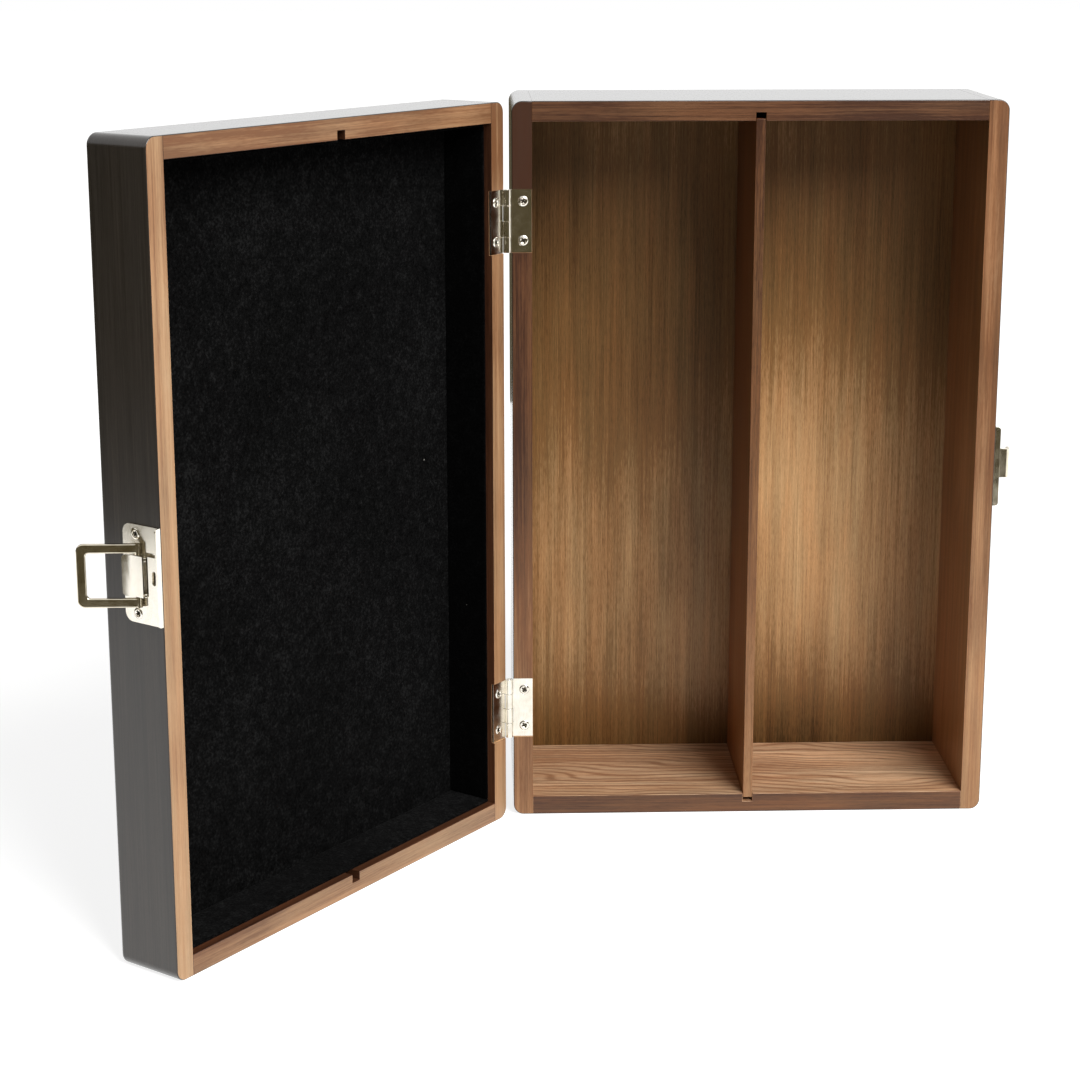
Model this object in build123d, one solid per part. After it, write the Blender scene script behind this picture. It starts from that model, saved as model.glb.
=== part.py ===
from build123d import *
import os

# A wooden gift box for two wine bottles, in millimetres.
# It stands on a short end with its lid swung open, as it stands on a shelf.
# +Z is up, the deep half opens towards -Y and its hinges are on the -X side.
# The origin is the middle of the deep half's lower end.

# Driving dimensions of the two halves
box_width = 232.0
box_height = 350.0
base_depth = 79.0
lid_depth = 33.0
board = 9.5
panel = 5.0
panel_land = 4.5
corner_radius = 5.0
back_arris = 2.0
rim_arris = 0.5
closed_gap = 0.6
lid_open_angle = 127.0

# The divider and the grooves that were sawn through with the box
divider_thickness = 4.5
divider_front_setback = 0.3
groove_play = 0.15
groove_depth = 4.0
tongue_bottom = 2.0
tongue_top = 1.0

# The felt lining of the lid
felt = 1.5
felt_setback = 4.0

# Butt hinges
hinge_inset = 55.5
leaf_length = 29.6
leaf_sheet = 1.0
leaf_setback = 0.1
mortise_play = 0.15
knuckle_radius = 1.95
knuckle_count = 4
knuckle_play = 0.15
knuckle_side_gap = 0.2
hinge_pin_radius = 0.9
leaf_screw_spacing = 18.4
leaf_screw_inset = 5.3

# Countersunk cross screws
screw_head_radius = 2.35
screw_head_edge = 0.15
screw_shank_radius = 1.1
screw_tip = 2.2
screw_length = 12.0
short_screw_length = 8.0
screw_play = 0.05
cross_length = 2.6
cross_width = 0.6
cross_depth = 0.9

# Pressed sheet, turned edge and screws that the latch and the catch share
sheet = 0.8
edge_setback = 0.1
edge_height = 2.6
edge_end_radius = 1.5
plate_far_radius = 4.0
running = 0.05

# Latch plate, with its raised bridge and the two ears of the lever
latch_plate_height = 41.0
latch_plate_width = 20.2
latch_screw_spacing = 33.2
latch_screw_inset = 13.2
bridge_half = 8.6
bridge_reach = 5.1
bridge_slot_inset = 1.9
bridge_slot_width = 2.0
bridge_slot_length = 6.0
ear_thickness = 1.1
ear_radius = 1.0
lever_pin_radius = 0.5

# Lever
lever_half = 8.5
lever_ear_gap = 0.2
lever_floor_gap = 0.15
lever_bridge_gap = 0.2
lever_root_setback = 0.4
lever_bend = 5.5
lever_length = 9.6
lip_rise = 1.65
lip_corner = 1.5
cheek_root_radius = 1.05
cheek_bail_radius = 1.2
cheek_length = 6.7

# Bail, the loop that reaches over to the hook
bail_axis_offset = 3.5
bail_floor_gap = 0.2
bail_side_gap = 0.9
bail_pin_radius = 0.6
bail_reach = 24.6
bail_bar = 3.8
bail_thickness = 2.4
bail_outer_corner = 3.0
bail_inner_corner = 1.5
bail_edge_round = 0.6
bail_eye_radius = 1.3
bail_eye_gap = 0.15
bail_pin_recess = 0.3
bail_rest_angle = 37.0

# Catch plate with its hook
catch_plate_height = 38.7
catch_plate_width = 16.0
catch_screw_spacing = 31.0
catch_screw_inset = 9.0
hook_half = 7.1
hook_sheet = 1.2
hook_stem_inset = 8.15
hook_foot_inset = 3.6
hook_height = 8.95
hook_reach = 12.2
hook_tip_run = 0.8
hook_tip_rise = 0.95
hook_foot_bend = 2.0
hook_top_bend = 1.2
hook_tip_bend = 0.8

# Places that follow from the sizes above
left = -box_width / 2
right = box_width / 2
inner_left = left + board
inner_right = right - board
inner_low = board
inner_high = box_height - board
mid_height = box_height / 2
base_rim = -base_depth / 2
base_back = base_depth / 2
base_panel_face = base_back - panel
lid_rim = base_rim - closed_gap
lid_back = lid_rim - lid_depth
lid_panel_face = lid_back + panel
hinge_x = left - knuckle_radius - knuckle_side_gap
hinge_y = base_rim - closed_gap / 2
hinge_axis = Axis((hinge_x, hinge_y, 0), (0, 0, 1))
hinge_mids = {"lower": hinge_inset, "upper": box_height - hinge_inset}
lever_axis_height = sheet + cheek_root_radius + lever_floor_gap
lever_underside = lever_axis_height + ear_radius + lever_floor_gap
lever_swing = Vector(lever_root_setback, lever_underside + sheet - lever_axis_height).length
lever_axis_inset = bridge_reach + lever_swing + lever_bridge_gap
bail_axis_inset = lever_axis_inset + bail_axis_offset
bail_axis_height = sheet + bail_eye_radius + bail_floor_gap
bail_inner_half = lever_half + bail_side_gap
bail_outer_half = bail_inner_half + bail_bar
through = 1.0


# Small shapes that the pieces are made from
def block(x_span, y_span, z_span):
    """A block between two limits on each axis."""
    size = [high - low for low, high in (x_span, y_span, z_span)]
    middle = [(high + low) / 2 for low, high in (x_span, y_span, z_span)]
    return Pos(*middle) * Box(*size)


def rod(x, y, radius, z_span):
    """An upright round bar."""
    low, high = z_span
    return Pos(x, y, (low + high) / 2) * Cylinder(radius, high - low)


def upright(profile, z_span):
    """A flat profile in X and Y, drawn out between two heights."""
    low, high = z_span
    return Pos(0, 0, low) * extrude(profile, high - low)


def both_ways(shape):
    """A shape above a mid plane, and its mirror image below it."""
    return shape + mirror(shape, about=Plane.XY)


# The two halves of the box
def outer_form(rim, back):
    """The outside of one half, as one block with rounded corners and arrises."""
    inward = 1 if back > rim else -1
    depth_axis = Axis((0, 0, 0), (0, inward, 0))
    face = Plane(origin=(0, rim, mid_height), x_dir=(1, 0, 0), z_dir=(0, inward, 0))
    form = face * extrude(RectangleRounded(box_width, box_height, corner_radius), abs(back - rim))
    form = fillet(form.faces().sort_by(depth_axis)[-1].edges(), back_arris)
    return fillet(form.faces().sort_by(depth_axis)[0].edges(), rim_arris)


def y_span(one, other):
    """Two places along Y, the lower first."""
    return (min(one, other), max(one, other))


def panel_solid(back, face):
    """The thin panel that closes one half, flush with the boards' back edges."""
    across = (left + panel_land, right - panel_land)
    return block(across, y_span(back, face), (panel_land, box_height - panel_land))


def boards(rim, back, face, names):
    """The four boards of one half: two long sides with the ends between them."""
    form = outer_form(rim, back) - panel_solid(back, face)
    depth = y_span(rim, back)
    full = (0, box_height)
    between = (inner_left, inner_right)
    regions = [
        block((left, inner_left), depth, full),
        block((inner_right, right), depth, full),
        block(between, depth, (inner_high, box_height)),
        block(between, depth, (0, inner_low)),
    ]
    return {name: form & region for name, region in zip(names, regions)}


def divider_groove(rim, face):
    """The space that both end boards lose to the divider's groove."""
    half = divider_thickness / 2 + groove_play
    reach = (inner_low - groove_depth, inner_high + groove_depth)
    return block((-half, half), y_span(rim, face), reach)


def divider_solid():
    """The board between the two bays, short of the grooves' bottoms."""
    half = divider_thickness / 2
    depth = (base_rim + divider_front_setback, base_panel_face)
    return block((-half, half), depth, (inner_low - tongue_bottom, inner_high + tongue_top))


def lining():
    """Felt on the lid's panel and on its four boards, stopped short of the rim."""
    front = lid_rim - felt_setback
    panel_felt_face = lid_panel_face + felt
    across = (inner_left, inner_right)
    upward = (inner_low, inner_high)
    wall_depth = (panel_felt_face, front)
    side_heights = (inner_low + felt, inner_high - felt)
    return {
        "lid_lining_panel": block(across, (lid_panel_face, panel_felt_face), upward),
        "lid_lining_top": block(across, wall_depth, (inner_high - felt, inner_high)),
        "lid_lining_bottom": block(across, wall_depth, (inner_low, inner_low + felt)),
        "lid_lining_hinge_side": block((inner_left, inner_left + felt), wall_depth, side_heights),
        "lid_lining_latch_side": block((inner_right - felt, inner_right), wall_depth, side_heights),
    }


# Screws
def screw_profile(length, play, cap):
    """Half of a countersunk screw's outline, head at the top, point at the bottom."""
    head = screw_head_radius + play
    shank = screw_shank_radius + play
    cone_end = screw_head_edge + screw_head_radius - screw_shank_radius
    outline = [
        (0, cap),
        (head, cap),
        (head, -screw_head_edge),
        (shank, -cone_end),
        (shank, screw_tip - length),
        (0, -length),
    ]
    return make_face(Plane.XZ * Polyline(*outline, close=True))


def screw(length):
    """A countersunk screw with a cross in its head, its head at the origin."""
    body = revolve(screw_profile(length, 0, 0), Axis.Z)
    for long_way, short_way in ((cross_length, cross_width), (cross_width, cross_length)):
        body -= Pos(0, 0, -cross_depth / 2) * Box(long_way, short_way, cross_depth)
    return body


def screw_hole(length):
    """The space that a screw takes from the metal and the wood."""
    return revolve(screw_profile(length + through, screw_play, through), Axis.Z)


def set_in(shape, places, outward):
    """Copies of a shape at each place, turned to stand outward."""
    placed = [Plane(origin=place, z_dir=outward) * shape for place in places]
    return Compound(children=placed) if len(placed) > 1 else placed[0]


# Hinges
def knuckle_span(middle, index):
    """The heights of one knuckle, counted from the bottom of its hinge."""
    pitch = leaf_length / knuckle_count
    low = middle - leaf_length / 2 + index * pitch
    return (low + knuckle_play / 2, low + pitch - knuckle_play / 2)


def hinge_leaf(middle, side, indices, bore):
    """One leaf: a flat plate and its knuckles. side is 1 on the deep half, -1 on the lid."""
    face = hinge_y + side * (knuckle_radius - leaf_sheet)
    depth = y_span(face, hinge_y + side * knuckle_radius)
    plate_start = hinge_x + knuckle_radius + knuckle_side_gap
    heights = (middle - leaf_length / 2, middle + leaf_length / 2)
    leaf = block((plate_start, inner_left - leaf_setback), depth, heights)
    for index in indices:
        span = knuckle_span(middle, index)
        leaf += rod(hinge_x, hinge_y, knuckle_radius, span)
        leaf += block((hinge_x, plate_start + leaf_sheet), depth, span)
        leaf -= rod(hinge_x, hinge_y, bore, span)
    return leaf


def leaf_screw_places(middle, side):
    """The two screw heads of a leaf, flush with its face."""
    face = hinge_y + side * (knuckle_radius - leaf_sheet)
    across = left + leaf_screw_inset
    return [(across, face, middle + way * leaf_screw_spacing / 2) for way in (-1, 1)]


def mortise(middle, side):
    """The shallow seat of a leaf, open on both sides of its board."""
    heights = (
        middle - leaf_length / 2 - mortise_play,
        middle + leaf_length / 2 + mortise_play,
    )
    depth = y_span(hinge_y, hinge_y + side * knuckle_radius)
    return block((left - through, inner_left + through), depth, heights)


def hinges():
    """Both hinges with their screws, and what the two side boards lose to them."""
    nodes = {}
    losses = {1: [], -1: []}
    for where, middle in hinge_mids.items():
        for side, half, indices, play in ((1, "base", (0, 2), 0), (-1, "lid", (1, 3), running)):
            outward = (0, -side, 0)
            places = leaf_screw_places(middle, side)
            holes = set_in(screw_hole(screw_length), places, outward)
            leaf = hinge_leaf(middle, side, indices, hinge_pin_radius + play)
            nodes[f"{where}_hinge_{half}_leaf"] = leaf - holes
            nodes[f"{where}_hinge_{half}_screws"] = set_in(screw(screw_length), places, outward)
            losses[side] += [mortise(middle, side), holes]
        heights = (middle - leaf_length / 2, middle + leaf_length / 2)
        nodes[f"{where}_hinge_pin"] = rod(hinge_x, hinge_y, hinge_pin_radius, heights)
    return nodes, losses


# Latch and catch are drawn on the outside of a right-hand board:
# X runs away from the rim, Y stands out from the board and Z is the height from its middle.
def latch_seat():
    """The latch's own frame on the closed lid."""
    return Plane(origin=(right, lid_rim, mid_height), x_dir=(0, -1, 0), z_dir=(0, 0, 1))


def catch_seat():
    """The catch's own frame on the deep half."""
    return Plane(origin=(right, base_rim, mid_height), x_dir=(0, 1, 0), z_dir=(0, 0, -1))


def edged_plate(width, height):
    """A pressed plate with rounded far corners and its rim-side edge turned up."""
    half = height / 2
    plate = block((edge_setback, edge_setback + width), (0, sheet), (-half, half))
    far_corners = plate.edges().filter_by(Axis.Y).group_by(Axis.X)[-1]
    plate = fillet(far_corners, plate_far_radius)
    edge = block((edge_setback, edge_setback + sheet), (0, edge_height), (-half, half))
    edge_ends = edge.edges().filter_by(Axis.X).group_by(Axis.Y)[-1]
    return plate + fillet(edge_ends, edge_end_radius)


def plate_screw_places(seat, inset, spacing):
    """The two screw heads of a plate, flush with its sheet."""
    return [tuple(seat.from_local_coords((inset, sheet, way * spacing / 2))) for way in (-1, 1)]


def bridge():
    """The raised bridge behind the turned edge, with its oval slot."""
    roof = block((edge_setback, bridge_reach), (edge_height - sheet, edge_height), (0, bridge_half))
    wall_heights = (bridge_half - sheet, bridge_half)
    wall = block((edge_setback, bridge_reach), (0, edge_height), wall_heights)
    whole = both_ways(roof + wall)
    slot = Rot(90, 0, 0) * extrude(
        Rot(0, 0, 90) * SlotOverall(bridge_slot_length, bridge_slot_width), edge_height, both=True
    )
    opening = Pos(bridge_slot_inset, 0, 0) * slot
    keep_plate = block((0, bridge_reach), (sheet, 2 * edge_height), (-bridge_half, bridge_half))
    return whole - (opening & keep_plate)


def ear():
    """One ear of the lever's pin, on the upper side of the middle."""
    high = lever_half - sheet - lever_ear_gap
    heights = (high - ear_thickness, high)
    across = (lever_axis_inset - ear_radius, lever_axis_inset + ear_radius)
    foot = block(across, (0, lever_axis_height), heights)
    return foot + rod(lever_axis_inset, lever_axis_height, ear_radius, heights)


def latch_plate():
    """The plate that carries the lever."""
    plate = edged_plate(latch_plate_width, latch_plate_height) + bridge() + both_ways(ear())
    reach = (-lever_half, lever_half)
    return plate - rod(lever_axis_inset, lever_axis_height, lever_pin_radius, reach)


def lever_pin():
    """The wire that the lever turns on."""
    return rod(lever_axis_inset, lever_axis_height, lever_pin_radius, (-lever_half, lever_half))


def lever_sheet():
    """The lever's top, bent up into a finger lip with rounded corners."""
    root = lever_axis_inset - lever_root_setback
    middle = lever_underside + sheet / 2
    bend = (lever_axis_inset + lever_bend, middle)
    tip = (lever_axis_inset + lever_length, middle + lip_rise)
    top = upright(trace(Polyline((root, middle), bend, tip), sheet), (-lever_half, lever_half))
    corners = top.edges().filter_by(lambda edge: edge.length < sheet * 1.01).group_by(Axis.X)[-1]
    corners = [edge for edge in corners if abs(edge.center().Z) > lever_half - through]
    return fillet(corners, lip_corner)


def lever_cheek():
    """One side of the lever, which the two wires pass through."""
    root = lever_axis_inset - lever_root_setback
    low = lever_axis_height - cheek_root_radius
    roof = lever_underside + sheet / 2
    outline = [
        (root, roof),
        (root, lever_axis_height),
        (lever_axis_inset, low),
        (bail_axis_inset, bail_axis_height - cheek_bail_radius),
        (lever_axis_inset + cheek_length, roof),
    ]
    heights = (lever_half - sheet, lever_half)
    cheek = upright(make_face(Polyline(*outline, close=True)), heights)
    cheek += rod(lever_axis_inset, lever_axis_height, cheek_root_radius, heights)
    return cheek + rod(bail_axis_inset, bail_axis_height, cheek_bail_radius, heights)


def latch_lever():
    """The toggle lever, lying closed on its plate."""
    lever = lever_sheet() + both_ways(lever_cheek())
    reach = (-lever_half, lever_half)
    lever -= rod(lever_axis_inset, lever_axis_height, lever_pin_radius + running, reach)
    return lever - rod(bail_axis_inset, bail_axis_height, bail_pin_radius + running, reach)


def bail_pin():
    """The wire that joins the bail to the lever."""
    half = bail_outer_half - bail_pin_recess
    return rod(bail_axis_inset, bail_axis_height, bail_pin_radius, (-half, half))


def bail_loop():
    """The loop, drawn from its axis along X."""
    flat = (-bail_thickness / 2, bail_thickness / 2)
    half = bail_outer_half
    outer = block((0, bail_reach), flat, (-half, half))
    outer = fillet(outer.edges().filter_by(Axis.Y).group_by(Axis.X)[-1], bail_outer_corner)
    reach = (-bail_reach, bail_reach - bail_bar)
    window = block(reach, (-bail_thickness, bail_thickness), (-bail_inner_half, bail_inner_half))
    window = fillet(window.edges().filter_by(Axis.Y).group_by(Axis.X)[-1], bail_inner_corner)
    loop = outer - window
    loop = fillet(loop.faces().filter_by(Axis.Y).edges(), bail_edge_round)
    eye = rod(0, 0, bail_eye_radius, (lever_half + bail_eye_gap, half))
    loop += both_ways(eye)
    return loop - rod(0, 0, bail_pin_radius + running, (-half, half))


def latch_bail():
    """The bail as it stands at rest, leaning back over the lever."""
    return Pos(bail_axis_inset, bail_axis_height, 0) * Rot(0, 0, bail_rest_angle) * bail_loop()


def catch_plate():
    """The plate with the hook that the bail is drawn over."""
    middle = hook_height - hook_sheet / 2
    points = [
        (hook_foot_inset, hook_sheet / 2),
        (hook_stem_inset, hook_sheet / 2),
        (hook_stem_inset, middle),
        (hook_reach, middle),
        (hook_reach + hook_tip_run, middle + hook_tip_rise),
    ]
    path = FilletPolyline(*points, radius=[hook_foot_bend, hook_top_bend, hook_tip_bend])
    hook = upright(trace(path, hook_sheet), (-hook_half, hook_half))
    return edged_plate(catch_plate_width, catch_plate_height) + hook


# The whole box
def base_nodes(hinge_losses):
    """The deep half, without its hinges."""
    names = ("base_side_left", "base_side_right", "base_top_wall", "base_bottom_wall")
    nodes = boards(base_rim, base_back, base_panel_face, names)
    nodes["base_back_panel"] = panel_solid(base_back, base_panel_face)
    nodes["divider"] = divider_solid()
    groove = divider_groove(base_rim, base_panel_face)
    for name in ("base_top_wall", "base_bottom_wall"):
        nodes[name] -= groove
    for loss in hinge_losses:
        nodes["base_side_left"] -= loss
    places = plate_screw_places(catch_seat(), catch_screw_inset, catch_screw_spacing)
    holes = set_in(screw_hole(short_screw_length), places, (1, 0, 0))
    nodes["base_side_right"] -= holes
    nodes["catch_plate"] = catch_seat() * catch_plate() - holes
    nodes["catch_screws"] = set_in(screw(short_screw_length), places, (1, 0, 0))
    return nodes


def lid_nodes(hinge_losses):
    """The lid as it is when it is closed, without its hinges."""
    names = ("lid_side_hinge", "lid_side_latch", "lid_top_wall", "lid_bottom_wall")
    nodes = boards(lid_rim, lid_back, lid_panel_face, names)
    nodes["lid_panel"] = panel_solid(lid_back, lid_panel_face)
    nodes.update(lining())
    groove = divider_groove(lid_rim, lid_panel_face)
    for name in ("lid_top_wall", "lid_bottom_wall"):
        nodes[name] -= groove
    for loss in hinge_losses:
        nodes["lid_side_hinge"] -= loss
    places = plate_screw_places(latch_seat(), latch_screw_inset, latch_screw_spacing)
    holes = set_in(screw_hole(short_screw_length), places, (1, 0, 0))
    nodes["lid_side_latch"] -= holes
    nodes["latch_plate"] = latch_seat() * latch_plate() - holes
    nodes["latch_screws"] = set_in(screw(short_screw_length), places, (1, 0, 0))
    nodes["latch_lever_pin"] = latch_seat() * lever_pin()
    nodes["latch_lever"] = latch_seat() * latch_lever()
    nodes["latch_bail_pin"] = latch_seat() * bail_pin()
    nodes["latch_bail"] = latch_seat() * latch_bail()
    return nodes


def all_nodes():
    """Every piece by name, with the lid and what it carries swung open."""
    hinge_pieces, losses = hinges()
    nodes = base_nodes(losses[1])
    moving = lid_nodes(losses[-1])
    for name, piece in hinge_pieces.items():
        (moving if "_lid_" in name else nodes)[name] = piece
    for name, piece in moving.items():
        nodes[name] = piece.rotate(hinge_axis, -lid_open_angle)
    return nodes


os.makedirs("parts", exist_ok=True)
for name, piece in all_nodes().items():
    export_step(piece, f"parts/{name}.step")
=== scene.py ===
"""The looks of a wooden gift box for two wine bottles, standing open on its end."""

import math

import bmesh
import bpy
from mathutils import Matrix, Vector


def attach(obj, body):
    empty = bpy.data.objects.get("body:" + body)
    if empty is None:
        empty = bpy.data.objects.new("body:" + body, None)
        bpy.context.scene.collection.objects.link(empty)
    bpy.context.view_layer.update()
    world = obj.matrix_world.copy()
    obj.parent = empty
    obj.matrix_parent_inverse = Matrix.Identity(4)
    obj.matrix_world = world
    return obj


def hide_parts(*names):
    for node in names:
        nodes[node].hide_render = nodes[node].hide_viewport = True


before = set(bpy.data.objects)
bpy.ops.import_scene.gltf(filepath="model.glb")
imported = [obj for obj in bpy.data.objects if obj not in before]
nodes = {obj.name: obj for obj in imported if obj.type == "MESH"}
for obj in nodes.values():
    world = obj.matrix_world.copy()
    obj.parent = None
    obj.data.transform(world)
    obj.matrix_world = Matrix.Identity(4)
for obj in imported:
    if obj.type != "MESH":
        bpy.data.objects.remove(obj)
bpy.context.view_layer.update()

MM = 0.001

# Places on the box, in millimetres, as it is when its lid is closed
HALF_WIDTH = 116.0
HEIGHT = 350.0
BASE_RIM = -39.5
BASE_BACK = 39.5
LID_RIM = -40.1
LID_BACK = -73.1
OPEN_ANGLE = 127.0
HINGE_AXIS = Vector((-118.15, -39.8, 0.0))
HINGE_HEIGHTS = (55.5, 294.5)
MORTISE_HALF = 15.2
HINGE_SCREW_X = -110.7
HINGE_SCREW_STEP = 9.2
BASE_LEAF_FACE = -38.85
LID_LEAF_FACE = -40.75
LATCH_FACE = 116.8
LATCH_HEIGHT = 175.0
LATCH_SCREW_Y = -53.3
LATCH_SCREW_STEP = 16.6
CATCH_SCREW_Y = -30.5
CATCH_SCREW_STEP = 15.5

# Where the stain and the bare rims end, in millimetres
ARRIS_ZONE = 2.6
RIM_ZONE = 0.3
STAINED_DEPTH = 4.5

# How much of a face's direction has to point one way for it to count as looking that way
LOOKS_OUT = 0.2
LOOKS_FORWARD = 0.5
LOOKS_STRAIGHT_OUT = 0.95

# Rounding of edges, in millimetres
BOARD_EDGE = 0.22
FELT_EDGE = 0.6
LEAF_EDGE = 0.4
PIN_EDGE = 0.1

# Clearing up of meshes: how near doubles are, in metres, and angles in degrees
DOUBLES = 2e-6
SCREW_DOUBLES = 1e-6
FLAT_ANGLE = 1.0
ROUNDED_ANGLE = 35.0
SHARP_ANGLE = 50.0

# Screws: radii, depths under the face and lengths, in millimetres
SCREW_HEAD = 2.32
SCREW_SHANK = 1.1
SCREW_TIP = 0.1
SCREW_EDGE_DEPTH = 0.15
SCREW_CONE_DEPTH = 1.4
SCREW_POINT = 2.2
HINGE_SCREW_LENGTH = 12.0
LATCH_SCREW_LENGTH = 8.0

# The ridge round a screw's head: its height in millimetres, and its start as a share of the radius
SCREW_RIDGE = 0.28
SCREW_DISH = 0.4

# The mesh of a screw's head, and how far the first screw and each next one are turned, in radians
SCREW_RINGS = 26
SCREW_STEPS = 64
SCREW_ANGLES = [2 * math.pi * j / SCREW_STEPS for j in range(SCREW_STEPS)]
SCREW_FIRST_TURN = 0.5
SCREW_NEXT_TURN = 2.1

# The driver's cross in a screw's head, in millimetres
CROSS_REACH = 1.3
CROSS_HALF_WIDTH = 0.38
CROSS_DEPTH = 0.9
CROSS_END_SLOPE = 0.25
CROSS_WALL_SLOPE = 0.16
# Faces of the cross deeper than this take the dark recess nickel: dirt and painted shade
CROSS_DIRT_AND_SHADE_DEPTH = 0.15

# Wood: features per millimetre along the board and in its two other directions
FIBRES = (0.022, 1.3, 1.3)
BANDS = (0.004, 0.21, 0.21)
CLOUDS = (0.012, 0.022, 0.022)
WANDER = (0.011, 0.03, 0.03)
DASHES = (0.22, 3.1, 3.1)
HUE_PATCHES = (0.014, 0.12, 0.12)

# Growth rings: how many millimetres they wander across and in depth, and their lean
RING_WANDER = 26.0
RING_SWAY = 30.0
RING_LEAN = 0.11

# Felt and nickel: features per millimetre
NAP = (0.8, 0.8, 0.8)
CLUMPS = (0.22, 0.22, 0.22)
WORN = (0.014, 0.014, 0.014)
LINT = 0.03
FINGER_BLOOM = (0.18, 0.18, 0.18)
ROLLING_MARKS = (5.0, 5.0, 0.25)

# How far the grain of one board lies from the next one's, in metres
GRAIN_SHIFT = (1.7, 0.31, 0.013)

# Which of the box's axes run along a board, across it and through it
UPRIGHT_SIDE = (2, 1, 0)
UPRIGHT_PANEL = (2, 0, 1)
LEVEL = (0, 1, 2)

# The camera, fitted to measured points of the photograph, in millimetres and degrees
CAMERA_PLACE = (-135.0, -1127.5, 426.0)
CAMERA_YAW = 1.69
CAMERA_PITCH = 13.11
CAMERA_ROLL = -0.05
CAMERA_LENS = 77.74
CAMERA_SENSOR = 36.0
CAMERA_SHIFT = -0.06
CAMERA_CLIP = (0.05, 50.0)

# The light and the room, in metres and watts
SKY = 0.2
KEY_PLACE = (0.89, -1.45, 1.58)
KEY_TARGET = (-0.05, -0.05, 0.17)
KEY_SIZE = 1.3
KEY_POWER = 66.0
FLOOR_REACH = 12.0
FLOOR_WHITE = 0.8
FLOOR_FADE = (0.4, 1.3)
FLOOR_CLOUDS = (1.3, 1.3, 1.3)
ROOM_CLOUDS = (3.0, 3.0, 3.0)

# The walls of the dim room: a height, and the corners that the wall runs along
ROOM_WALLS = (
    (0.5, ((-1.0, 1.0), (-1.0, -0.62), (0.9, -0.62))),
    (0.36, ((1.1, 0.25), (1.1, 1.0), (-1.0, 1.0))),
)


def srgb(red, green, blue):
    """A colour as it is seen, from 0 to 255, as the light that it stands for."""
    parts = []
    for value in (red, green, blue):
        value = value / 255
        low = value / 12.92
        parts.append(low if value <= 0.04045 else ((value + 0.055) / 1.055) ** 2.4)
    return (*parts, 1.0)


# Node materials
class Recipe:
    """A material built node by node."""

    def __init__(self, name):
        self.material = bpy.data.materials.new(name)
        self.material.use_nodes = True
        self.tree = self.material.node_tree
        self.tree.nodes.clear()

    def node(self, kind, settings=None, **inputs):
        """A node of a kind, with its settings and its inputs by name."""
        made = self.tree.nodes.new(kind)
        for key, value in (settings or {}).items():
            setattr(made, key, value)
        for key, value in inputs.items():
            self.feed(made.inputs[key.replace("_", " ")], value)
        return made

    def feed(self, socket, value):
        """A link from another node's output, or a plain value."""
        if isinstance(value, bpy.types.NodeSocket):
            self.tree.links.new(value, socket)
        else:
            socket.default_value = value

    def attribute(self, name, output):
        """What the mesh says of itself at each point."""
        return self.node("ShaderNodeAttribute", {"attribute_name": name}).outputs[output]

    def object_place(self):
        """A point's place on its own object, in metres."""
        return self.node("ShaderNodeTexCoord").outputs["Object"]

    def millimetres(self, place):
        """A place in millimetres instead of metres."""
        return self.vector("MULTIPLY", place, (1 / MM, 1 / MM, 1 / MM))

    def sums(self, operation, *values):
        """One step of arithmetic."""
        made = self.tree.nodes.new("ShaderNodeMath")
        made.operation = operation
        for socket, value in zip(made.inputs, values):
            self.feed(socket, value)
        return made.outputs[0]

    def swing(self, value, reach, middle):
        """A middle value, moved up and down by one that lies about 0.5."""
        return self.sums("MULTIPLY_ADD", self.sums("SUBTRACT", value, 0.5), reach, middle)

    def vector(self, operation, *values):
        """One step of arithmetic on vectors."""
        made = self.tree.nodes.new("ShaderNodeVectorMath")
        made.operation = operation
        for socket, value in zip(made.inputs, values):
            self.feed(socket, value)
        return made.outputs["Value" if operation == "LENGTH" else "Vector"]

    def noise(self, place, stretch, detail=2.0, roughness=0.5):
        """Noise, drawn out by the number of features in each unit of the place's axes."""
        scaled = self.vector("MULTIPLY", place, stretch)
        made = self.node("ShaderNodeTexNoise", None, Vector=scaled, Scale=1.0)
        made.inputs["Detail"].default_value = detail
        made.inputs["Roughness"].default_value = roughness
        return made.outputs["Fac"]

    def fade(self, value, low, high):
        """0 at low, 1 at high and smooth between."""
        made = self.tree.nodes.new("ShaderNodeMapRange")
        made.interpolation_type = "SMOOTHSTEP"
        self.feed(made.inputs["Value"], value)
        self.feed(made.inputs["From Min"], low)
        self.feed(made.inputs["From Max"], high)
        return made.outputs["Result"]

    def ramp(self, factor, *stops):
        """Colours along a factor, as pairs of place and colour."""
        made = self.node("ShaderNodeValToRGB", None, Fac=factor)
        elements = made.color_ramp.elements
        while len(elements) < len(stops):
            elements.new(0.5)
        for element, (place, colour) in zip(elements, stops):
            element.position = place
            element.color = colour
        return made.outputs["Color"]

    def blend(self, factor, first, second, mode="MIX"):
        """Two colours mixed by a factor."""
        made = self.node("ShaderNodeMix", {"data_type": "RGBA", "blend_type": mode})
        self.feed(made.inputs[0], factor)
        self.feed(made.inputs[6], first)
        self.feed(made.inputs[7], second)
        return made.outputs[2]

    def bump(self, height, distance):
        """A surface relief, its depth in millimetres."""
        made = self.node("ShaderNodeBump", None, Height=height)
        made.inputs["Strength"].default_value = 1.0
        made.inputs["Distance"].default_value = distance * MM
        return made.outputs["Normal"]

    def finish(self, shader):
        """The surface goes to the output."""
        out = self.tree.nodes.new("ShaderNodeOutputMaterial")
        self.tree.links.new(shader, out.inputs["Surface"])
        return self.material


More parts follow.
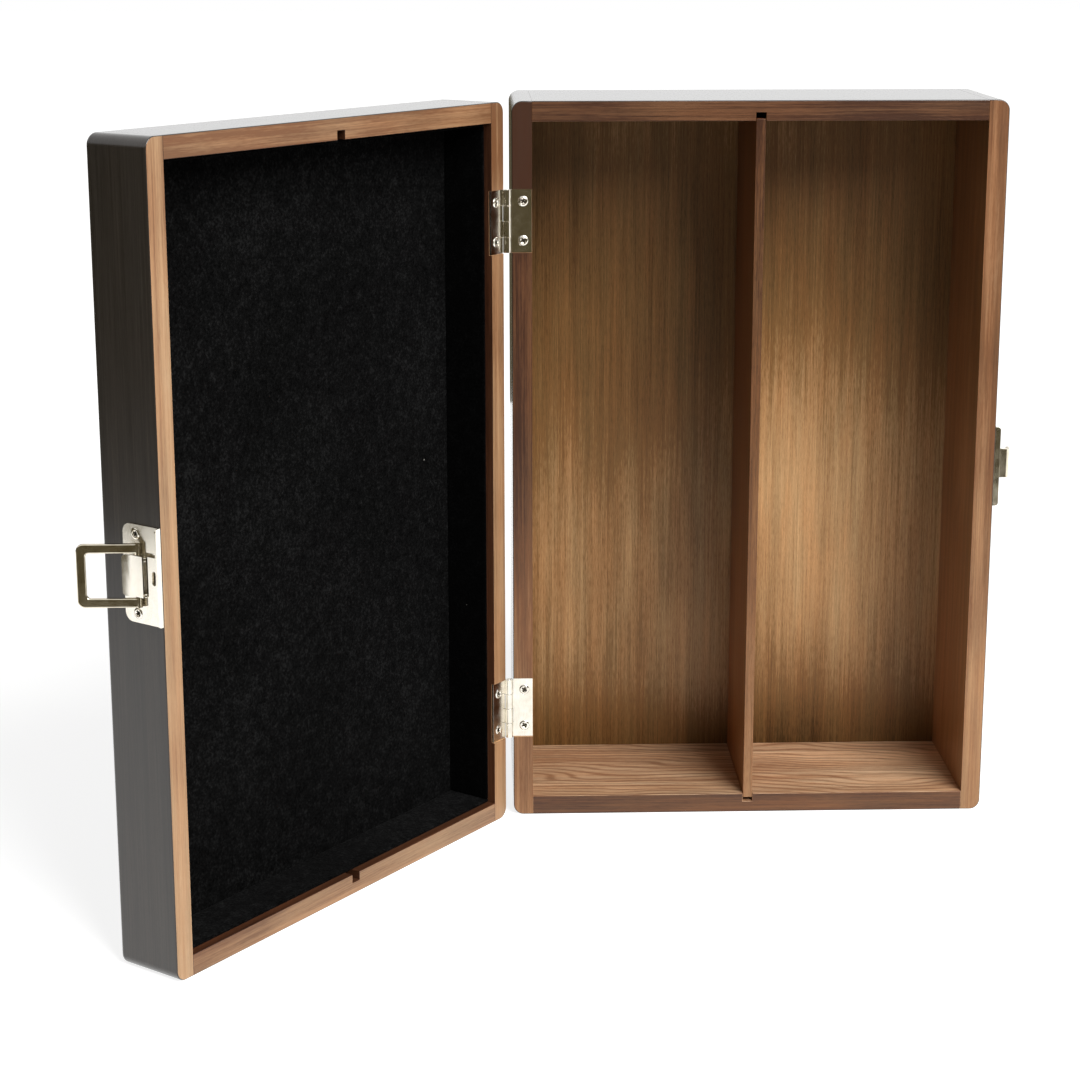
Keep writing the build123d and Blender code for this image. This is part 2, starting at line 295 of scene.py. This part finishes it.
def growth_rings(r, place, clouds, pitch):
    """The late wood of a tree's rings, whose heart lies near the board."""
    wander = r.noise(place, WANDER)
    split = r.node("ShaderNodeSeparateXYZ", None, Vector=place)
    across = r.swing(wander, RING_WANDER, split.outputs["Y"])
    depth = r.sums("MULTIPLY_ADD", split.outputs["X"], RING_LEAN, split.outputs["Z"])
    depth = r.swing(clouds, RING_SWAY, depth)
    heart = r.node("ShaderNodeCombineXYZ", None, X=across, Y=depth).outputs["Vector"]
    radius = r.vector("LENGTH", heart)
    wave = r.sums("SINE", r.sums("MULTIPLY", radius, 2 * math.pi / pitch))
    return r.sums("POWER", r.sums("MULTIPLY_ADD", wave, 0.5, 0.5), 3.0)


def wood(name, low, middle, high, ring=0.0, ring_pitch=3.0, fibre=0.5, streak=0.3, dash=0.3,
         blotch=0.3, pores=0.3, hue=0.4, rough=0.36, gloss=0.4, coat=0.0, relief=0.012, pale=()):
    """Wood with fibres, growth rings and pores along each board's own length.

    Pale names parts of a board by their centre and reach, along and across it in millimetres,
    and by how much lighter they are, or darker where that is negative. These are painted light
    and painted shade.
    """
    low, middle, high = srgb(*low), srgb(*middle), srgb(*high)
    r = Recipe(name)
    place = r.millimetres(r.attribute("grain", "Vector"))
    fine = r.noise(place, FIBRES, 3.0, 0.6)
    bands = r.noise(place, BANDS, 3.0, 0.6)
    clouds = r.noise(place, CLOUDS)
    dashes = r.noise(place, DASHES, 2.0, 0.6)
    late = growth_rings(r, place, clouds, ring_pitch)
    tone = r.swing(fine, fibre * 2, 0.5)
    tone = r.swing(bands, streak * 2, tone)
    tone = r.swing(dashes, dash * 2, tone)
    tone = r.swing(clouds, blotch * 2, tone)
    tone = r.sums("MULTIPLY_ADD", late, -ring, tone)
    # The board's tone from the mesh, partly its stain and partly painted light and shade
    tone = r.sums("ADD", tone, r.attribute("shade", "Fac"))
    # Painted pools of light and painted shade, patch by patch
    for centre, reach, gain in pale:
        offset = r.vector("SUBTRACT", place, (*centre, 0.0))
        offset = r.vector("MULTIPLY", offset, (1 / reach[0], 1 / reach[1], 0.0))
        near = r.fade(r.vector("LENGTH", offset), 1.0, 0.0)
        tone = r.sums("MULTIPLY_ADD", near, gain, tone)
    colour = r.ramp(tone, (0.0, low), (0.5, middle), (1.0, high))
    patches = r.noise(place, HUE_PATCHES, 3.0, 0.6)
    tint = r.ramp(patches, (0.36, (1.1, 0.95, 0.82, 1.0)), (0.64, (0.9, 1.02, 1.08, 1.0)))
    colour = r.blend(hue, colour, tint, "MULTIPLY")
    pits = r.fade(dashes, 0.6, 0.72)
    colour = r.blend(r.sums("MULTIPLY", pits, pores), colour, low)
    height = r.sums("MULTIPLY_ADD", pits, -0.8, fine)
    surface = r.node("ShaderNodeBsdfPrincipled", None, Base_Color=colour)
    r.feed(surface.inputs["Roughness"], r.sums("MULTIPLY_ADD", fine, 0.16, rough - 0.08))
    surface.inputs["Specular IOR Level"].default_value = gloss
    surface.inputs["Coat Weight"].default_value = coat
    surface.inputs["Coat Roughness"].default_value = 0.14
    surface.inputs["Coat IOR"].default_value = 1.3
    r.feed(surface.inputs["Normal"], r.bump(height, relief))
    return r.finish(surface.outputs["BSDF"])


def felt(name):
    """Black felt: short tangled fibres, a worn bloom and a few specks of lint."""
    r = Recipe(name)
    place = r.millimetres(r.attribute("grain", "Vector"))
    nap = r.noise(place, NAP, 5.0, 0.7)
    clump = r.noise(place, CLUMPS, 4.0, 0.65)
    bloom = r.noise(place, WORN)
    tone = r.swing(nap, 2.2, 0.42)
    tone = r.swing(clump, 1.2, tone)
    tone = r.swing(bloom, 0.5, tone)
    # Each lining's own offset in tone is painted light and shade
    tone = r.sums("ADD", tone, r.attribute("shade", "Fac"))
    black, grey, worn = srgb(1, 1, 1), srgb(10, 10, 10), srgb(30, 30, 30)
    colour = r.ramp(tone, (0.0, black), (0.5, grey), (1.0, worn))
    cell = r.node("ShaderNodeTexVoronoi", None, Vector=place, Scale=LINT)
    speck = r.fade(cell.outputs["Distance"], 0.018, 0.008)
    colour = r.blend(speck, colour, srgb(120, 118, 112))
    surface = r.node("ShaderNodeBsdfPrincipled", None, Base_Color=colour)
    surface.inputs["Roughness"].default_value = 0.95
    surface.inputs["Specular IOR Level"].default_value = 0.02
    surface.inputs["Sheen Weight"].default_value = 0.012
    surface.inputs["Sheen Roughness"].default_value = 0.5
    height = r.sums("MULTIPLY_ADD", clump, 1.5, nap)
    r.feed(surface.inputs["Normal"], r.bump(height, 0.35))
    return r.finish(surface.outputs["BSDF"])


def nickel(name, bright, dull, rough):
    """Plated steel with faint rolling marks and finger bloom."""
    r = Recipe(name)
    place = r.millimetres(r.object_place())
    bloom = r.noise(place, FINGER_BLOOM, 3.0, 0.55)
    marks = r.noise(place, ROLLING_MARKS, 3.0, 0.6)
    tone = r.swing(marks, 0.5, bloom)
    colour = r.ramp(tone, (0.25, srgb(*dull)), (0.75, srgb(*bright)))
    surface = r.node("ShaderNodeBsdfPrincipled", None, Base_Color=colour)
    surface.inputs["Metallic"].default_value = 1.0
    r.feed(surface.inputs["Roughness"], r.sums("MULTIPLY_ADD", bloom, 0.14, rough - 0.07))
    r.feed(surface.inputs["Normal"], r.bump(marks, 0.004))
    return r.finish(surface.outputs["BSDF"])


STAIN = wood(
    "black_stain", (32, 27, 23), (50, 44, 39), (70, 63, 56),
    fibre=0.5, streak=0.45, blotch=0.15, pores=0.6, hue=0.15, rough=0.32, gloss=0.35, coat=1.0,
    relief=0.004,
)
LID_RIM_WOOD = wood(
    "lid_rim_wood", (112, 74, 46), (172, 134, 98), (200, 166, 130),
    fibre=0.35, streak=0.45, dash=0.2, blotch=0.4,
)
BASE_RIM_WOOD = wood(
    "base_rim_wood", (62, 36, 22), (122, 82, 52), (176, 134, 96),
    fibre=0.35, streak=0.4, dash=0.2, blotch=0.35,
)
WALL_WOOD = wood(
    "inner_wall_wood", (76, 46, 24), (130, 88, 52), (170, 124, 84),
    fibre=0.4, streak=0.4, ring=0.12, ring_pitch=6.0,
)
# The lid's inner faces: a dark wood as painted shade on the narrow strip between felt and rim
LID_INNER_WOOD_IN_PAINTED_SHADE = wood(
    "lid_inner_wood_in_painted_shade", (52, 28, 16), (92, 56, 36), (126, 84, 56), fibre=0.4, streak=0.4,
)
# The bay floors' wood is far paler than the walls' wood: its own tone and grain, with painted
# light where the floors face up to the lamp
FLOOR_WOOD_WITH_PAINTED_LIGHT = wood(
    "bay_floor_wood_with_painted_light", (146, 107, 78), (224, 186, 148), (246, 216, 182),
    fibre=0.36, streak=0.4, dash=0.25, ring=0.26, ring_pitch=3.6,
)
VENEER = wood(
    "panel_veneer", (50, 30, 2), (122, 86, 46), (206, 163, 114),
    fibre=0.26, streak=0.2, blotch=0.14, pores=0.45, hue=0.42, gloss=0.3,
    # Painted light and shade on the panel: pools of light in both bays, lighter at the top and
    # beside the divider and the right wall, and painted shade low down along the bay floors
    pale=(
        ((126.0, 40.0), (170.0, 106.0), 0.55),
        ((102.0, -84.0), (160.0, 96.0), 0.34),
        ((4.0, 0.0), (46.0, 300.0), -0.2),
        ((345.0, -10.0), (80.0, 200.0), 0.24),
        ((36.0, -20.0), (90.0, 34.0), 0.3),
        ((100.0, 106.0), (200.0, 24.0), 0.32),
        ((20.0, 36.0), (60.0, 44.0), -0.18),
    ),
)
DIVIDER_WOOD = wood(
    "divider_wood", (104, 58, 26), (134, 82, 44), (170, 118, 74), fibre=0.4, streak=0.4,
)
DIVIDER_EDGE = wood(
    "divider_edge_wood", (58, 32, 16), (128, 86, 52), (180, 134, 94), fibre=0.3,
)
CUT_WOOD = wood(
    "fresh_cut_wood", (150, 110, 76), (200, 160, 118), (226, 192, 152), fibre=0.4, rough=0.7,
)
FELT = felt("black_felt")
BRIGHT_NICKEL = nickel("bright_nickel", (244, 240, 230), (226, 219, 205), 0.16)
HINGE_NICKEL = nickel("hinge_nickel", (240, 235, 224), (214, 207, 192), 0.14)
# Dark nickel in the screws' cross recesses: dirt and painted shade in the hollow
RECESS_NICKEL_DIRT_AND_SHADE = nickel("recess_nickel_dirt_and_painted_shade", (112, 104, 90), (70, 64, 54), 0.4)
DARK_NICKEL = nickel("bail_nickel", (226, 218, 200), (190, 180, 158), 0.14)


# Pieces
CLOSING = Matrix.Rotation(math.radians(OPEN_ANGLE), 3, "Z")
OPENING = Matrix.Rotation(math.radians(-OPEN_ANGLE), 3, "Z")


def closed_place(point, on_lid):
    """Where a point is with the lid closed, in millimetres."""
    point = Vector(point) / MM
    return CLOSING @ (point - HINGE_AXIS) + HINGE_AXIS if on_lid else point


def closed_facing(normal, on_lid):
    """Where a face looks with the lid closed."""
    return CLOSING @ Vector(normal) if on_lid else Vector(normal)


def smooth_object(label, form, materials):
    """A mesh's object, smooth but for its sharp edges. It uses the form up."""
    mesh = bpy.data.meshes.new(label)
    form.to_mesh(mesh)
    form.free()
    for material in materials:
        mesh.materials.append(material)
    mesh.polygons.foreach_set("use_smooth", [True] * len(mesh.polygons))
    mesh.set_sharp_from_angle(angle=math.radians(SHARP_ANGLE))
    made = bpy.data.objects.new(label, mesh)
    bpy.context.scene.collection.objects.link(made)
    return made


def lay_grain(mesh, on_lid, along, seed, tones_and_painted_light):
    """The grain's place and the shade at each point: partly stain, partly painted light and shade.
    """
    mesh.attributes.new("grain", "FLOAT_VECTOR", "POINT")
    mesh.attributes.new("shade", "FLOAT", "POINT")
    grain, shade = mesh.attributes["grain"], mesh.attributes["shade"]
    offset = Vector([seed * shift for shift in GRAIN_SHIFT])
    at_foot, at_top = tones_and_painted_light
    for vertex, item, tint in zip(mesh.vertices, grain.data, shade.data):
        place = closed_place(vertex.co, on_lid) * MM
        item.vector = Vector([place[axis] for axis in along]) + offset
        tint.value = at_foot + (at_top - at_foot) * place.z / (HEIGHT * MM)


def piece(name, label, body, materials, edge, segments=2, along=UPRIGHT_SIDE, seed=0,
          choose=None, tones_and_painted_light=(0.0, 0.0)):
    """A node's form with its edges rounded and its materials, standing in for the node."""
    on_lid = body != "base"
    form = bmesh.new()
    form.from_mesh(nodes[name].data)
    bmesh.ops.remove_doubles(form, verts=form.verts, dist=DOUBLES)
    bmesh.ops.dissolve_limit(
        form, angle_limit=math.radians(FLAT_ANGLE), verts=form.verts, edges=form.edges
    )
    rounded = math.radians(ROUNDED_ANGLE)
    sharp = [e for e in form.edges if e.is_manifold and e.calc_face_angle() > rounded]
    bmesh.ops.bevel(
        form, geom=sharp, offset=edge * MM, segments=segments, profile=0.5,
        affect="EDGES", clamp_overlap=True,
    )
    bmesh.ops.recalc_face_normals(form, faces=form.faces)
    made = smooth_object(label, form, materials)
    lay_grain(made.data, on_lid, along, seed, tones_and_painted_light)
    if choose:
        for face in made.data.polygons:
            place = closed_place(face.center, on_lid)
            face.material_index = choose(place, closed_facing(face.normal, on_lid))
    flat = made.modifiers.new("flat faces", "WEIGHTED_NORMAL")
    flat.keep_sharp = True
    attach(made, body)
    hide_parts(name)


def board_finish(rim, back):
    """Which finish a face of a board has: 0 stain, 1 rim, 2 inside, 3 fresh cut."""
    way = 1 if back > rim else -1

    def choose(place, facing):
        from_rim, from_back = abs(place.y - rim), abs(place.y - back)
        if facing.y * way < -LOOKS_STRAIGHT_OUT and from_rim < RIM_ZONE:
            return 1
        side = 1 if place.x > 0 else -1
        outer = (
            (abs(place.x) > HALF_WIDTH - ARRIS_ZONE and facing.x * side > LOOKS_OUT)
            or (place.z < ARRIS_ZONE and facing.z < -LOOKS_OUT)
            or (place.z > HEIGHT - ARRIS_ZONE and facing.z > LOOKS_OUT)
            or (from_back < ARRIS_ZONE and facing.y * way > LOOKS_OUT)
            or from_back < STAINED_DEPTH
        )
        in_hinge = any(abs(place.z - height) < MORTISE_HALF for height in HINGE_HEIGHTS)
        if place.x < 0 and in_hinge and RIM_ZONE <= from_rim < ARRIS_ZONE:
            return 3
        return 0 if outer else 2

    return choose


def panel_finish(back):
    """Which finish a face of a panel has: 0 stain, and 1 veneer for its inner face."""
    return lambda place, facing: 0 if abs(place.y - back) < STAINED_DEPTH else 1


def divider_finish(place, facing):
    """Which finish a face of the divider has: 1 for its front edge."""
    return 1 if facing.y < -LOOKS_FORWARD else 0


def boards():
    """The boards, the panels and the divider, each with its tone at the foot and the top, partly
    painted light.
    """
    base, back = board_finish(BASE_RIM, BASE_BACK), panel_finish(BASE_BACK)
    lid, front = board_finish(LID_RIM, LID_BACK), panel_finish(LID_BACK)
    panel = [STAIN, VENEER]
    base_side = [STAIN, BASE_RIM_WOOD, WALL_WOOD, CUT_WOOD]
    base_end = [STAIN, BASE_RIM_WOOD, FLOOR_WOOD_WITH_PAINTED_LIGHT, CUT_WOOD]
    lid_all = [STAIN, LID_RIM_WOOD, LID_INNER_WOOD_IN_PAINTED_SHADE, CUT_WOOD]
    divider = [DIVIDER_WOOD, DIVIDER_EDGE]
    # Last column: the tone at the foot and at the top, partly each board's own stain and partly
    # painted light and shade. The sides and the divider are painted paler towards the foot and
    # darker towards the top
    rows = [
        ("base_back_panel", "base", panel, UPRIGHT_PANEL, back, (-0.2, -0.2)),
        ("base_side_left", "base", base_side, UPRIGHT_SIDE, base, (0.16, -0.72)),
        ("base_side_right", "base", base_side, UPRIGHT_SIDE, base, (0.34, -0.12)),
        ("base_top_wall", "base", base_side, LEVEL, base, (-0.4, -0.4)),
        ("base_bottom_wall", "base", base_end, LEVEL, base, (-0.25, -0.25)),
        ("lid_side_hinge", "lid", lid_all, UPRIGHT_SIDE, lid, (-0.1, -0.4)),
        # Painted reflection: this side's stain is paler towards the foot, for the white floor in
        # its gloss
        ("lid_side_latch", "lid", lid_all, UPRIGHT_SIDE, lid, (0.15, -0.15)),
        ("lid_top_wall", "lid", lid_all, LEVEL, lid, (-0.5, -0.5)),
        ("lid_bottom_wall", "lid", lid_all, LEVEL, lid, (-0.22, -0.22)),
        ("lid_panel", "lid", panel, UPRIGHT_PANEL, front, (0.0, 0.0)),
        ("divider", "base", divider, UPRIGHT_SIDE, divider_finish, (0.26, -0.52)),
    ]
    for seed, (name, body, materials, along, choose, tones_and_painted_light) in enumerate(rows):
        piece(
            name, name + "_board", body, materials, BOARD_EDGE, 2, along, seed,
            choose, tones_and_painted_light,
        )


def lining():
    """The felt on the lid's panel and boards, with soft edges."""
    # Painted shade on the hinge side and the top, which lie in shade; painted light and a little
    # dust on the bottom
    rows = (
        ("panel", 0.0), ("top", -0.2), ("bottom", 0.08), ("hinge_side", -0.4), ("latch_side", 0.0),
    )
    for seed, (where, shade) in enumerate(rows, 20):
        name = "lid_lining_" + where
        piece(
            name, name + "_felt", "lid", [FELT], FELT_EDGE, 3, UPRIGHT_PANEL, seed,
            tones_and_painted_light=(shade, shade),
        )


def cross_recess(x, y):
    """How deep the driver's cross goes at a point of a screw head, from 0 to 1."""
    depth = 0.0
    for along, across in ((x, y), (y, x)):
        reach = (CROSS_REACH - abs(along)) / CROSS_END_SLOPE
        width = (CROSS_HALF_WIDTH + CROSS_WALL_SLOPE / 2 - abs(across)) / CROSS_WALL_SLOPE
        depth = max(depth, min(reach, width, 1.0))
    return depth


def screw_rows(length):
    """The rings of points round a screw, from the middle of its head to its tip."""
    rows = []
    for i in range(SCREW_RINGS + 1):
        radius = SCREW_HEAD * i / SCREW_RINGS
        out = max(0.0, (radius / SCREW_HEAD - SCREW_DISH) / (1 - SCREW_DISH))
        ridge = SCREW_RIDGE * math.sin(math.pi * out)
        row = []
        for angle in SCREW_ANGLES:
            x, y = radius * math.cos(angle), radius * math.sin(angle)
            row.append((x, y, ridge - CROSS_DEPTH * cross_recess(x, y)))
        rows.append(row)
    below = (
        (SCREW_HEAD, -SCREW_EDGE_DEPTH),
        (SCREW_SHANK, -SCREW_CONE_DEPTH),
        (SCREW_SHANK, SCREW_POINT - length),
        (SCREW_TIP, -length),
    )
    for radius, height in below:
        rows.append([(radius * math.cos(a), radius * math.sin(a), height) for a in SCREW_ANGLES])
    return rows


def screw_form(form, centre, outward, length, turn):
    """A countersunk screw with a rounded ridge round its head and a cross in it."""
    outward = Vector(outward).normalized()
    side = Vector((0.0, 0.0, 1.0)).cross(outward).normalized()
    up = outward.cross(side)
    cos, sin = math.cos(turn), math.sin(turn)
    rows = screw_rows(length)
    rings = []
    for row in rows:
        ring = []
        for x, y, height in row:
            x, y = cos * x - sin * y, sin * x + cos * y
            ring.append(form.verts.new((centre + side * x + up * y + outward * height) * MM))
        rings.append(ring)
    for i, (inner, outer) in enumerate(zip(rings, rings[1:])):
        for j in range(SCREW_STEPS):
            k = (j + 1) % SCREW_STEPS
            face = form.faces.new((inner[j], outer[j], outer[k], inner[k]))
            deepest = min(rows[i][j][2], rows[i + 1][j][2])
            # Deep faces of the cross get the dark nickel: dirt and painted shade
            face.material_index = 1 if i < SCREW_RINGS and deepest < -CROSS_DIRT_AND_SHADE_DEPTH else 0
    form.faces.new(list(reversed(rings[-1])))


def screws(name, body, places, outward, length):
    """The screws of one node, at places and facing a way that hold for the closed lid."""
    form = bmesh.new()
    for i, place in enumerate(places):
        centre, way = Vector(place), Vector(outward)
        if body == "lid":
            centre = OPENING @ (centre - HINGE_AXIS) + HINGE_AXIS
            way = OPENING @ way
        screw_form(form, centre, way, length, SCREW_FIRST_TURN + SCREW_NEXT_TURN * i)
    bmesh.ops.remove_doubles(form, verts=form.verts, dist=SCREW_DOUBLES)
    bmesh.ops.recalc_face_normals(form, faces=form.faces)
    made = smooth_object(name + "_domed", form, [BRIGHT_NICKEL, RECESS_NICKEL_DIRT_AND_SHADE])
    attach(made, body)
    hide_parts(name)


def hinges():
    """Two butt hinges, each with its leaves, its pin and its screws."""
    metal = (
        ("base_leaf", "base", LEAF_EDGE),
        ("lid_leaf", "lid", LEAF_EDGE),
        ("pin", "base", PIN_EDGE),
    )
    leaves = (("base", BASE_LEAF_FACE, -1.0), ("lid", LID_LEAF_FACE, 1.0))
    for where, middle in zip(("lower", "upper"), HINGE_HEIGHTS):
        for node, body, edge in metal:
            name = where + "_hinge_" + node
            piece(name, name + "_metal", body, [HINGE_NICKEL], edge)
        heights = (middle - HINGE_SCREW_STEP, middle + HINGE_SCREW_STEP)
        for half, face, way in leaves:
            name = where + "_hinge_" + half + "_screws"
            places = [(HINGE_SCREW_X, face, height) for height in heights]
            screws(name, half, places, (0.0, way, 0.0), HINGE_SCREW_LENGTH)


def latch():
    """The toggle latch on the lid and its catch on the deep half, with their screws."""
    plates = (
        ("latch_screws", "lid", LATCH_SCREW_Y, LATCH_SCREW_STEP),
        ("catch_screws", "base", CATCH_SCREW_Y, CATCH_SCREW_STEP),
    )
    for name, body, y, step in plates:
        heights = (LATCH_HEIGHT - step, LATCH_HEIGHT + step)
        places = [(LATCH_FACE, y, height) for height in heights]
        screws(name, body, places, (1.0, 0.0, 0.0), LATCH_SCREW_LENGTH)
    rows = (
        ("latch_plate", "lid", BRIGHT_NICKEL, 0.2),
        ("latch_lever_pin", "lid", BRIGHT_NICKEL, 0.08),
        ("latch_lever", "lever", BRIGHT_NICKEL, 0.2),
        ("latch_bail_pin", "bail_pin", DARK_NICKEL, 0.1),
        ("latch_bail", "bail", DARK_NICKEL, 0.4),
        ("catch_plate", "base", DARK_NICKEL, 0.2),
    )
    for name, body, material, edge in rows:
        piece(name, name + "_metal", body, [material], edge, 3)


# Surroundings
def seen_directly(tree):
    """1 for what the camera sees, itself or in a gloss, and 0 for the light that is cast."""
    path = tree.nodes.new("ShaderNodeLightPath")
    seen = path.outputs["Is Camera Ray"]
    for name in ("Is Glossy Ray", "Is Transmission Ray"):
        larger = tree.nodes.new("ShaderNodeMath")
        larger.operation = "MAXIMUM"
        tree.links.new(seen, larger.inputs[0])
        tree.links.new(path.outputs[name], larger.inputs[1])
        seen = larger.outputs[0]
    return seen


def stage_object(name, form, material):
    """A thing of the studio, not of the box. It uses the form up."""
    mesh = bpy.data.meshes.new(name)
    form.to_mesh(mesh)
    form.free()
    mesh.materials.append(material)
    made = bpy.data.objects.new(name, mesh)
    bpy.context.scene.collection.objects.link(made)
    return made


def floor():
    """A wide pale floor that shows white and keeps the shadow of the box."""
    form = bmesh.new()
    bmesh.ops.create_grid(form, x_segments=1, y_segments=1, size=FLOOR_REACH)
    r = Recipe("floor")
    place = r.object_place()
    cloud = r.noise(place, FLOOR_CLOUDS)
    colour = r.ramp(cloud, (0.0, srgb(201, 201, 200)), (1.0, srgb(206, 206, 205)))
    paper = r.node("ShaderNodeBsdfDiffuse", None, Color=colour)
    away = r.fade(r.vector("LENGTH", place), *FLOOR_FADE)
    white = r.sums("MULTIPLY_ADD", away, 1.0 - FLOOR_WHITE, FLOOR_WHITE)
    strength = r.sums("MULTIPLY", white, seen_directly(r.tree))
    glow = r.node("ShaderNodeEmission", None, Strength=strength)
    both = r.node("ShaderNodeAddShader")
    r.feed(both.inputs[0], paper.outputs[0])
    r.feed(both.inputs[1], glow.outputs[0])
    stage_object("floor", form, r.finish(both.outputs[0]))


def dim_room():
    """Low dim walls round the floor, which show only in gloss and metal."""
    form = bmesh.new()
    for top, corners in ROOM_WALLS:
        low = [form.verts.new((x, y, 0.0)) for x, y in corners]
        high = [form.verts.new((x, y, top)) for x, y in corners]
        for i in range(len(corners) - 1):
            form.faces.new((low[i], low[i + 1], high[i + 1], high[i]))
    r = Recipe("dim_room")
    cloud = r.noise(r.object_place(), ROOM_CLOUDS)
    colour = r.ramp(cloud, (0.0, srgb(74, 66, 46)), (1.0, srgb(104, 96, 74)))
    glow = r.node("ShaderNodeEmission", None, Color=colour)
    walls = stage_object("dim_room", form, r.finish(glow.outputs[0]))
    walls.visible_camera = False
    walls.visible_diffuse = False
    walls.visible_shadow = False


def sky():
    """An even light from all round, which shows white behind the box and in the metal."""
    world = bpy.data.worlds.new("studio")
    bpy.context.scene.world = world
    world.use_nodes = True
    tree = world.node_tree
    tree.nodes.clear()
    light = tree.nodes.new("ShaderNodeBackground")
    light.inputs["Strength"].default_value = SKY
    white = tree.nodes.new("ShaderNodeBackground")
    white.inputs["Strength"].default_value = 1.0
    for background in (light, white):
        background.inputs["Color"].default_value = (1.0, 1.0, 1.0, 1.0)
    mixed = tree.nodes.new("ShaderNodeMixShader")
    tree.links.new(seen_directly(tree), mixed.inputs[0])
    tree.links.new(light.outputs[0], mixed.inputs[1])
    tree.links.new(white.outputs[0], mixed.inputs[2])
    out = tree.nodes.new("ShaderNodeOutputWorld")
    tree.links.new(mixed.outputs[0], out.inputs["Surface"])


def key_light():
    """One large soft box in front of the part, high on the right."""
    data = bpy.data.lights.new("key", "AREA")
    data.shape = "RECTANGLE"
    data.size = data.size_y = KEY_SIZE
    data.energy = KEY_POWER
    made = bpy.data.objects.new("key", data)
    made.location = KEY_PLACE
    aim = Vector(KEY_TARGET) - Vector(KEY_PLACE)
    made.rotation_euler = aim.to_track_quat("-Z", "Y").to_euler()
    bpy.context.scene.collection.objects.link(made)


def camera():
    """The photograph's viewpoint."""
    yaw, pitch, roll = (math.radians(a) for a in (CAMERA_YAW, CAMERA_PITCH, CAMERA_ROLL))
    level = Vector((math.sin(yaw), math.cos(yaw), 0.0))
    ahead = level * math.cos(pitch) - Vector((0.0, 0.0, math.sin(pitch)))
    right = Vector((math.cos(yaw), -math.sin(yaw), 0.0))
    up = right.cross(ahead)
    turned = right * math.cos(roll) + up * math.sin(roll)
    up = up * math.cos(roll) - right * math.sin(roll)
    data = bpy.data.cameras.new("camera")
    data.sensor_width = CAMERA_SENSOR
    data.lens = CAMERA_LENS
    data.shift_y = CAMERA_SHIFT
    data.clip_start, data.clip_end = CAMERA_CLIP
    made = bpy.data.objects.new("camera", data)
    matrix = Matrix((turned, up, -ahead)).transposed().to_4x4()
    matrix.translation = Vector(CAMERA_PLACE) * MM
    made.matrix_world = matrix
    bpy.context.scene.collection.objects.link(made)
    bpy.context.scene.camera = made


boards()
lining()
hinges()
latch()
floor()
dim_room()
sky()
key_light()
camera()
bpy.context.scene.view_settings.view_transform = "Standard"
